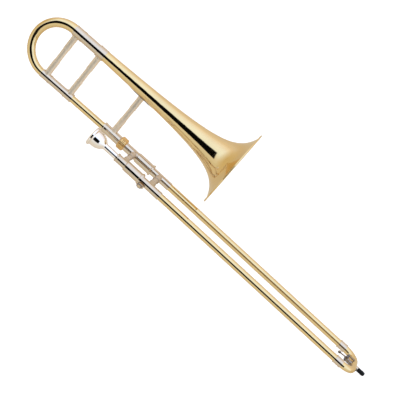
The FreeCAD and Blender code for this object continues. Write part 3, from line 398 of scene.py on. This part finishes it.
def turned(name, profile, base, axis, sides, radius_at=None):
    """Mesh turned about the line through base along axis, from (along, radius) points in metres.

    A profile that begins and ends on the axis is closed there; any other is closed on itself.
    radius_at(along, radius, turn) may change the radius round the turn.
    """
    axis = axis.normalized()
    side = axis.orthogonal().normalized()
    up = axis.cross(side)
    verts = []
    for along, radius in profile:
        for step in range(sides):
            turn = 2 * math.pi * step / sides
            reach = radius_at(along, radius, turn) if radius_at else radius
            out = side * math.cos(turn) + up * math.sin(turn)
            verts.append(base + axis * along + out * reach)
    rows = len(profile)
    on_axis = profile[0][1] == 0 and profile[-1][1] == 0
    faces = []
    for row in range(rows - 1 if on_axis else rows):
        below = row * sides
        above = (row + 1) % rows * sides
        for step in range(sides):
            beside = (step + 1) % sides
            faces.append((below + step, below + beside, above + beside, above + step))
    mesh = bpy.data.meshes.new(name)
    mesh.from_pydata(verts, [], faces)
    return mesh


def rounded(turn, half_size):
    """One coordinate of a rounded box section, from the cosine or sine of its turn."""
    return math.copysign(abs(turn) ** BAR_SQUARENESS, turn) * half_size


def bar(stations):
    """Bent bar with a rounded section in the plane y = 0, with a flat cap at each end.

    A station is (x, z, half width, half thickness).
    """
    verts = []
    for index, (x, z, half_width, half_thickness) in enumerate(stations):
        before = stations[max(index - 1, 0)]
        after = stations[min(index + 1, len(stations) - 1)]
        forward = Vector((after[0] - before[0], 0, after[1] - before[1])).normalized()
        normal = forward.cross(Vector((0, 1, 0)))
        for step in range(BAR_SIDES):
            turn = 2 * math.pi * step / BAR_SIDES
            across = rounded(math.cos(turn), half_width)
            proud = rounded(math.sin(turn), half_thickness)
            verts.append(Vector((x, across, z)) + normal * proud)
    last = (len(stations) - 1) * BAR_SIDES
    faces = [tuple(range(BAR_SIDES)), tuple(range(last, last + BAR_SIDES))]
    for row in range(0, last, BAR_SIDES):
        for step in range(BAR_SIDES):
            beside = (step + 1) % BAR_SIDES
            above = row + BAR_SIDES
            faces.append((row + step, row + beside, above + beside, above + step))
    mesh = bpy.data.meshes.new("bar")
    mesh.from_pydata(verts, [], faces)
    return mesh


def clean(mesh):
    """Merge doubled points, split faces of many corners, and turn every face outwards."""
    work = bmesh.new()
    work.from_mesh(mesh)
    bmesh.ops.remove_doubles(work, verts=work.verts, dist=SAME_POINT)
    bmesh.ops.triangulate(work, faces=[face for face in work.faces if len(face.verts) > 4])
    bmesh.ops.recalc_face_normals(work, faces=work.faces)
    work.to_mesh(mesh)
    work.free()


def united(name, meshes):
    """One mesh that is the union of closed meshes."""
    objects = [bpy.data.objects.new(name, mesh) for mesh in meshes]
    for item in objects:
        bpy.context.scene.collection.objects.link(item)
        clean(item.data)
    for other in objects[1:]:
        union = objects[0].modifiers.new("union", "BOOLEAN")
        union.operation = "UNION"
        union.solver = "EXACT"
        union.object = other
    view = bpy.context.evaluated_depsgraph_get()
    mesh = bpy.data.meshes.new_from_object(objects[0].evaluated_get(view))
    for item in objects:
        bpy.data.objects.remove(item)
    return mesh


def finished(name, mesh, body, slot):
    """Make a mesh a piece: clean, smooth but for its sharp edges, and riding on its body."""
    clean(mesh)
    mesh.shade_smooth()
    mesh.set_sharp_from_angle(angle=SHARP_ANGLE)
    piece = bpy.data.objects.new(name, mesh)
    bpy.context.scene.collection.objects.link(piece)
    mesh.materials.append(materials[slot])
    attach(piece, body)
    return piece


def darken(piece, in_painted_shade):
    """Paint shade, with the dark nickel, on the faces whose middles the given test picks."""
    piece.data.materials.append(materials["painted_shade_nickel"])
    for face in piece.data.polygons:
        if in_painted_shade(face.center):
            face.material_index = 1


# ---- lock nut ----------------------------------------------------------------------------------

NUT_FLUTES = 24
NUT_FLUTE_DEPTH = 0.3 * MM
NUT_FLUTE_SHARPNESS = 12
NUT_FLUTE_FADE = 0.4
NUT_SIDES_PER_FLUTE = 20
NUT_GRIP_STEPS = 12
NUT_FRONT_BAND = 2.4 * MM
NUT_BACK_BAND = 3.0 * MM
NUT_EDGE = 0.5 * MM
NUT_BORE_GAP = 0.05 * MM
NUT_LEAST_WALL = 1.0 * MM
NUT_FLANGE = 2.0 * MM
COLLAR_STEP = 0.75 * MM


def make_lock_nut():
    """Hand nut with a fluted grip between smooth rounded edges."""
    low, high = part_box("lock_nut")
    length = high.x - low.x
    outer = half_height("lock_nut")
    thread = half_height("slide_receiver") + NUT_BORE_GAP
    mouth = half_height("slide_tenon") - COLLAR_STEP
    flange = length - NUT_FLANGE
    grip_end = length - NUT_BACK_BAND
    grip_length = grip_end - NUT_FRONT_BAND
    grip = [(NUT_FRONT_BAND + grip_length * step / NUT_GRIP_STEPS, outer)
            for step in range(1, NUT_GRIP_STEPS)]
    front = [(length / 2, thread), (0, thread), (0, outer - 1.9 * MM), (1.4 * MM, outer), grip[0]]
    back = [grip[-1], (length - 2.0 * MM, outer), (length, outer - 2.6 * MM),
            (length, mouth), (flange, mouth), (flange, thread)]

    def fluted(along, radius, turn):
        share = (along - NUT_FRONT_BAND) / grip_length
        if radius < thread + NUT_LEAST_WALL or not 0 < share < 1:
            return radius
        groove = (0.5 + 0.5 * math.cos(NUT_FLUTES * turn)) ** NUT_FLUTE_SHARPNESS
        return radius - NUT_FLUTE_DEPTH * groove * math.sin(math.pi * share) ** NUT_FLUTE_FADE

    outline = soften(front, NUT_EDGE) + grip[1:-1] + soften(back, NUT_EDGE)
    mesh = turned("fluted_lock_nut", outline, axis_point("lock_nut", low.x), SLIDE_AXIS,
                  NUT_FLUTES * NUT_SIDES_PER_FLUTE, fluted)
    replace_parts(finished("fluted_lock_nut", mesh, "lock_nut", "raw_brass"), "lock_nut")


# ---- slide lock knob ---------------------------------------------------------------------------

KNOB_RIBS = 30
KNOB_RIB_DEPTH = 0.22 * MM
KNOB_SIDES_PER_RIB = 8
KNOB_EDGE = 0.3 * MM
# The ribs begin at this share of the knob's radius, and the painted shade (dark nickel) at the
# next.
KNOB_RIBBED_FROM = 0.97
KNOB_PAINTED_SHADE_FROM = 0.6
# From the knob's foot to the middle of its dished top, in shares of its height and its radius.
KNOB_OUTLINE = [(0, 0), (0, 0.58), (0.12, 0.50), (0.22, 0.50), (0.34, 0.90), (0.46, 1),
                (0.80, 1), (0.94, 0.88), (1, 0.66), (0.93, 0.50), (0.90, 0)]


def make_lock_knob():
    """Thumb knob with a coined edge and a dished top, standing on its arm."""
    centre = axis_point("mouthpiece_side_outer_sleeve", middle_of("slide_lock_knob").x)
    out = (middle_of("slide_lock_knob") - centre).normalized()
    points = [vertex.co for vertex in frame["nodes"]["slide_lock_knob"].data.vertices]
    reach = [(point - centre).dot(out) for point in points]
    foot = min(reach)
    height = max(reach) - foot
    low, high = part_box("slide_lock_knob")
    head = (high.x - low.x) / 2
    outline = [(along * height, radius * head) for along, radius in KNOB_OUTLINE]

    def coined(along, radius, turn):
        if radius < KNOB_RIBBED_FROM * head:
            return radius
        return radius - KNOB_RIB_DEPTH * (0.5 + 0.5 * math.cos(KNOB_RIBS * turn))

    # Painted shade: the knob from this share of its radius outwards takes the dark nickel.
    def in_painted_shade(spot):
        from_axis = spot - centre - out * (spot - centre).dot(out)
        return from_axis.length > KNOB_PAINTED_SHADE_FROM * head

    mesh = turned("coined_lock_knob", soften(outline, KNOB_EDGE), centre + out * foot, out,
                  KNOB_RIBS * KNOB_SIDES_PER_RIB, coined)
    knob = finished("coined_lock_knob", mesh, "slide_lock", "nickel_silver")
    darken(knob, in_painted_shade)
    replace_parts(knob, "slide_lock_knob")


# ---- rubber tip --------------------------------------------------------------------------------

BUMPER_SIDES = 72
BUMPER_EDGE = 0.6 * MM
BUMPER_STEM_R = 2.2 * MM
BUMPER_LIP = 1.6 * MM
BUMPER_INSET = 0.1 * MM
BUMPER_RINGS = 3
BUMPER_RING_STEP = 2.6 * MM
BUMPER_RING_DEPTH = 0.45 * MM
# Outline of one groove and the ring after it, as (along, inwards).
BUMPER_RING = [(0.4 * MM, BUMPER_RING_DEPTH), (1.0 * MM, BUMPER_RING_DEPTH),
               (1.4 * MM, BUMPER_INSET), (BUMPER_RING_STEP, BUMPER_INSET)]
# Outline of the domed end, as (back from the tip, inwards).
BUMPER_DOME = [(3.4 * MM, BUMPER_INSET), (1.2 * MM, 1.0 * MM), (0, 3.0 * MM)]


def make_bumper():
    """Moulded rubber tip: a lip on its holder, shallow rings, and a domed end."""
    low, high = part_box("rubber_bumper")
    length = high.x - low.x
    outer = half_height("rubber_bumper")
    holder_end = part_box("bumper_holder")[1].x - low.x
    lip_end = holder_end + BUMPER_LIP
    outline = [(0, 0), (0, BUMPER_STEM_R), (holder_end, BUMPER_STEM_R), (holder_end, outer),
               (lip_end, outer)]
    for ring in range(BUMPER_RINGS):
        start = lip_end + ring * BUMPER_RING_STEP
        outline += [(start + along, outer - inwards) for along, inwards in BUMPER_RING]
    outline += [(length - back, outer - inwards) for back, inwards in BUMPER_DOME]
    outline.append((length, 0))
    mesh = turned("ringed_rubber_tip", soften(outline, BUMPER_EDGE),
                  axis_point("rubber_bumper", low.x), SLIDE_AXIS, BUMPER_SIDES)
    tip = finished("ringed_rubber_tip", mesh, "outer_slide", "black_rubber")
    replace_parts(tip, "rubber_bumper")


# ---- water key ---------------------------------------------------------------------------------

HUB_SIDES = 48
HUB_EDGE = 0.5 * MM
HUB_HALF_WIDTH = 5.0 * MM
PIN_HOLE_R = 1.15 * MM

ARM_STEPS = 14
ARM_ROOT_BACK = 1.6 * MM
ARM_ROOT_HEIGHT = 1.2 * MM
ARM_RISE = 2.6 * MM
ARM_ARC = 0.62 * math.pi
ARM_HALF_WIDTH = 1.9 * MM
ARM_WAIST = 0.8 * MM
ARM_HALF_THICKNESS = 1.2 * MM
ARM_THINNING = 0.4 * MM

TOUCH_SIDES = 48
TOUCH_EDGE = 0.4 * MM
TOUCH_R = 3.1 * MM
# From the middle of the touch piece's underside to the middle of its dished top.
TOUCH_OUTLINE = [(-1.0 * MM, 0), (-1.0 * MM, 2.6 * MM), (0, TOUCH_R), (0.9 * MM, TOUCH_R),
                 (1.3 * MM, 2.7 * MM), (0.9 * MM, 0)]

CUP_SIDES = 60
CUP_EDGE = 0.3 * MM
CUP_BACK = 2.0 * MM
CORK_PROUD = 0.9 * MM
CORK_EDGE = 0.5 * MM


def key_hub(pivot, hub_r):
    """Hub with a hole for the screw."""
    width = 2 * HUB_HALF_WIDTH
    outline = [(HUB_HALF_WIDTH, PIN_HOLE_R), (0, PIN_HOLE_R), (0, hub_r), (width, hub_r),
               (width, PIN_HOLE_R), (HUB_HALF_WIDTH, PIN_HOLE_R)]
    base = Vector((pivot.x, -HUB_HALF_WIDTH, pivot.z))
    return turned("hub", soften(outline, HUB_EDGE), base, Vector((0, 1, 0)), HUB_SIDES)


def arm_stations(pivot, touch_x):
    """Line and section of the curved arm, narrow at its middle and thinner at the touch piece."""
    root_x = pivot.x - ARM_ROOT_BACK
    stations = []
    for step in range(ARM_STEPS + 1):
        share = step / ARM_STEPS
        x = root_x + (touch_x - root_x) * share
        z = pivot.z + ARM_ROOT_HEIGHT + ARM_RISE * math.sin(ARM_ARC * share)
        half_width = ARM_HALF_WIDTH - ARM_WAIST * math.sin(math.pi * share)
        stations.append((x, z, half_width, ARM_HALF_THICKNESS - ARM_THINNING * share))
    return stations


def key_touch(touch_x, touch_z):
    """Round touch piece with a dished top."""
    base = Vector((touch_x, 0, touch_z))
    return turned("touch", soften(TOUCH_OUTLINE, TOUCH_EDGE), base, Vector((0, 0, 1)), TOUCH_SIDES)


def neck_stations(pivot, cup_z):
    """Line and section of the neck from the hub to the back of the cup."""
    root = (pivot.x, pivot.z + 1.6 * MM, 2.1 * MM, 1.2 * MM)
    waist = (pivot.x, pivot.z + 4.0 * MM, 1.6 * MM, 1.0 * MM)
    shoulder = (pivot.x + 0.4 * MM, cup_z - 2.0 * MM, 1.9 * MM, 1.0 * MM)
    top = (pivot.x + 0.9 * MM, cup_z, 2.2 * MM, 0.9 * MM)
    return [root, waist, shoulder, top]


def key_cup(cup_r, cup_z):
    """Cup with a domed back and a seat for the cork, which stands a little out of it."""
    cork_low, cork_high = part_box("water_key_cork")
    cork_r = half_height("water_key_cork")
    back_x = cork_low.x - CUP_BACK
    depth = cork_high.x - CORK_PROUD - back_x
    outline = [(0, 0), (0, 1.8 * MM), (0.9 * MM, cup_r - 0.7 * MM), (1.6 * MM, cup_r),
               (depth, cup_r), (depth, cork_r), (CUP_BACK, cork_r), (CUP_BACK, 0)]
    return turned("cup", soften(outline, CUP_EDGE), Vector((back_x, 0, cup_z)), SLIDE_AXIS,
                  CUP_SIDES)


def make_water_key():
    """Lever: a hub on the screw, a curved arm to the touch piece, and a neck to the cup."""
    low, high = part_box("water_key_lever")
    pivot = middle_of("water_key_screw")
    cup_z = middle_of("water_key_cork").z
    touch_x = low.x + TOUCH_R
    arm = arm_stations(pivot, touch_x)
    touch_z = arm[-1][1]
    mesh = united("curved_water_key", [key_hub(pivot, pivot.z - low.z), bar(arm),
                                       key_touch(touch_x, touch_z),
                                       bar(neck_stations(pivot, cup_z)),
                                       key_cup(high.z - cup_z, cup_z)])
    key = finished("curved_water_key", mesh, "water_key", "nickel_silver")
    # Painted shade: all of the key past the middle of its touch piece takes the dark nickel.
    darken(key, lambda spot: spot.x > touch_x)
    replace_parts(key, "water_key_lever")


def make_water_key_cork():
    """Cork pad with a rounded face."""
    low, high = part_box("water_key_cork")
    radius = half_height("water_key_cork")
    thickness = high.x - low.x
    outline = [(0, 0), (0, radius), (thickness, radius), (thickness, 0)]
    mesh = turned("domed_water_key_cork", soften(outline, CORK_EDGE),
                  Vector((low.x, 0, middle_of("water_key_cork").z)), SLIDE_AXIS, CUP_SIDES)
    pad = finished("domed_water_key_cork", mesh, "water_key", "cork")
    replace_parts(pad, "water_key_cork")


# ---- whole scene -------------------------------------------------------------------------------

make_camera()
make_world()
make_floor()
dress_nodes()
make_lock_nut()
make_lock_knob()
make_bumper()
make_water_key()
make_water_key_cork()
bpy.context.scene.view_settings.view_transform = "Standard"
bpy.context.scene.view_settings.look = "None"
